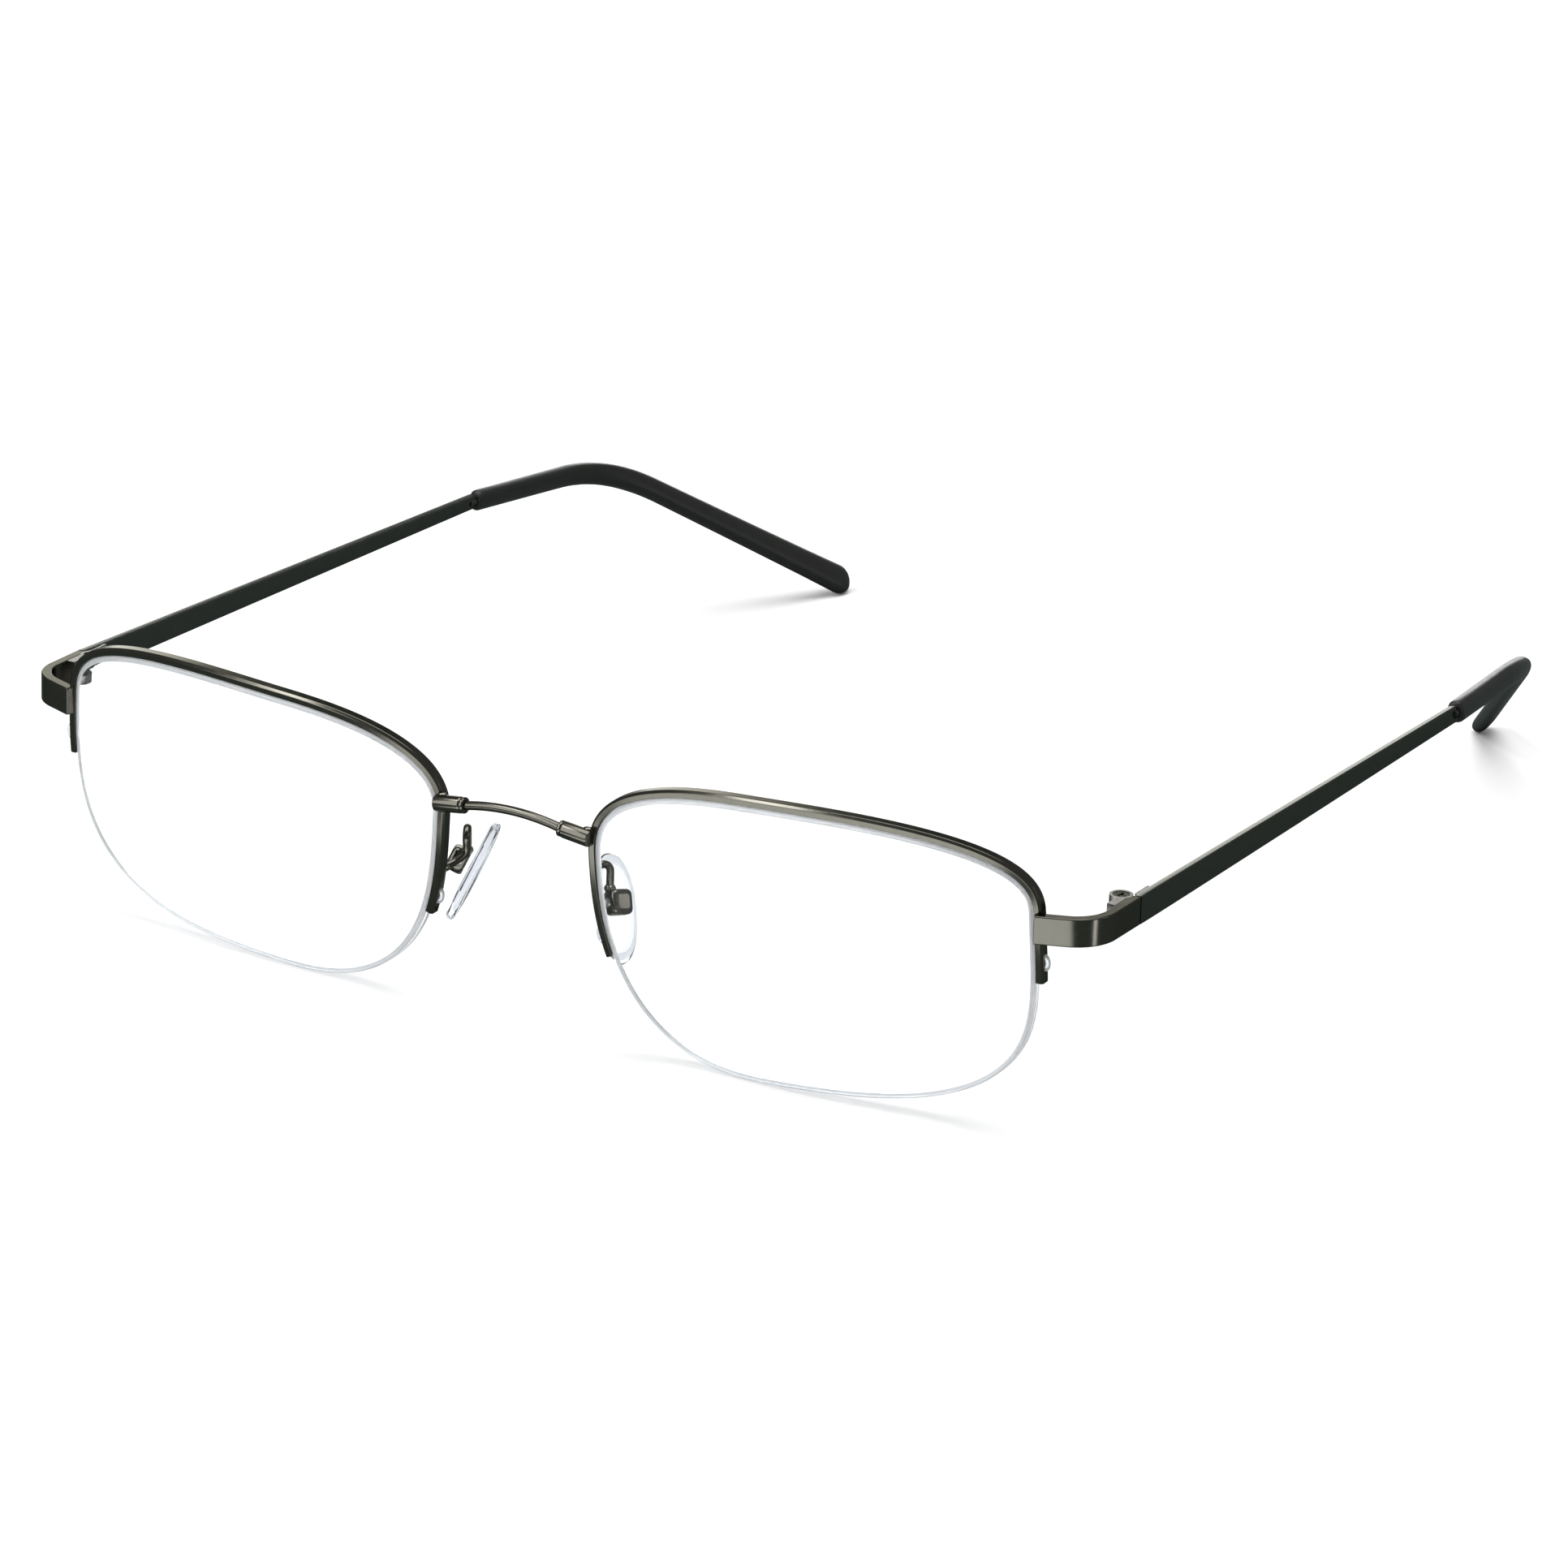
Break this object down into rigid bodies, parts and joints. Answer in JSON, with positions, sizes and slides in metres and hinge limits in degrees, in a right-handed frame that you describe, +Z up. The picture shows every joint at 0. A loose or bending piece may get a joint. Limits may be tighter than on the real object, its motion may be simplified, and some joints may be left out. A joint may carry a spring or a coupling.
{
  "type": "reading glasses",
  "caption": "Half-rim reading glasses with folding temples, rocking clear nose pads and lenses held by a clear cord.",
  "frame": {"origin": "middle of the bounding box in plan, on the surface that the glasses stand on", "axes": "+X to the right as seen from the front, +Y back along the temples, +Z up"},
  "size_m": [0.1268, 0.1426, 0.0315],
  "materials": {
    "gunmetal": "satin gunmetal plating",
    "screw_steel": "turned steel, slotted head",
    "lens": "clear polished plastic lens",
    "clear_nylon": "clear nylon",
    "clear_pad": "clear soft plastic",
    "black_tip": "satin black moulded plastic"
  },
  "bodies": {
    "front": {"bridge_wire": "gunmetal", "left_bridge_sleeve": "gunmetal", "right_bridge_sleeve": "gunmetal", "left_eyewire": "gunmetal", "right_eyewire": "gunmetal", "left_rim_liner": "clear_nylon", "right_rim_liner": "clear_nylon", "left_lens": "lens", "right_lens": "lens", "left_lens_cord": "clear_nylon", "right_lens_cord": "clear_nylon", "left_endpiece": "gunmetal", "right_endpiece": "gunmetal", "left_front_hinge": "gunmetal", "right_front_hinge": "gunmetal", "left_hinge_screw": "screw_steel", "right_hinge_screw": "screw_steel", "left_pad_arm": "gunmetal", "right_pad_arm": "gunmetal", "left_pad_box": "gunmetal", "right_pad_box": "gunmetal", "left_pad_screw": "screw_steel", "right_pad_screw": "screw_steel"},
    "left_arm": {"left_temple_hinge": "gunmetal", "left_temple": "gunmetal", "left_temple_tip": "black_tip"},
    "right_arm": {"right_temple_hinge": "gunmetal", "right_temple": "gunmetal", "right_temple_tip": "black_tip"},
    "left_pad": {"left_pad_core": "clear_nylon", "left_nose_pad": "clear_pad"},
    "right_pad": {"right_pad_core": "clear_nylon", "right_nose_pad": "clear_pad"}
  },
  "joints": [
    {"name": "left_temple_fold", "type": "hinge", "parent": "front", "child": "left_arm", "pos_m": [-0.06139, -0.05524, 0.02228], "axis": [0, 0, -1], "range_deg": [0, 75]},
    {"name": "right_temple_fold", "type": "hinge", "parent": "front", "child": "right_arm", "pos_m": [0.06139, -0.05524, 0.02228], "axis": [0, 0, 1], "range_deg": [0, 85]},
    {"name": "left_pad_rock", "type": "hinge", "parent": "front", "child": "left_pad", "pos_m": [-0.00989, -0.06379, 0.01455], "axis": [0.4357, -0.8861, 0.158], "range_deg": [-10, 10]},
    {"name": "right_pad_rock", "type": "hinge", "parent": "front", "child": "right_pad", "pos_m": [0.00989, -0.06379, 0.01455], "axis": [0.4357, 0.8861, -0.158], "range_deg": [-10, 10]}
  ]
}
